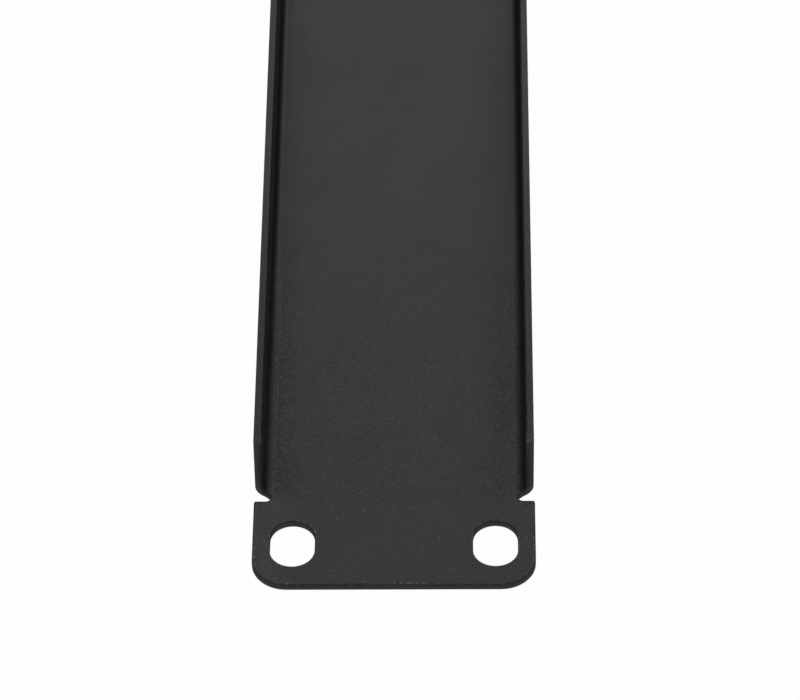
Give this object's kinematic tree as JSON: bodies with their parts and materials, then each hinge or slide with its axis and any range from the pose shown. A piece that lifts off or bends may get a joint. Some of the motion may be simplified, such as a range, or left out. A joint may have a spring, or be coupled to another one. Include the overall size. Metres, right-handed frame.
{
  "type": "blanking panel",
  "caption": "Folded steel blanking panel with slotted ears at its ends and stiffening flanges along its long edges; closes an empty unit of a 19 inch equipment rack.",
  "frame": {"origin": "middle of the front face, which is the underside as the panel lies", "axes": "+X along the panel from ear to ear, +Y across its height in the rack, +Z from the front face to the back, the way the flanges stand"},
  "size_m": [0.4826, 0.0444, 0.0126],
  "materials": {
    "black_powder_coat": "satin, fine-textured powder coat"
  },
  "bodies": {
    "root": {"blanking_panel": "black_powder_coat"}
  },
  "joints": []
}
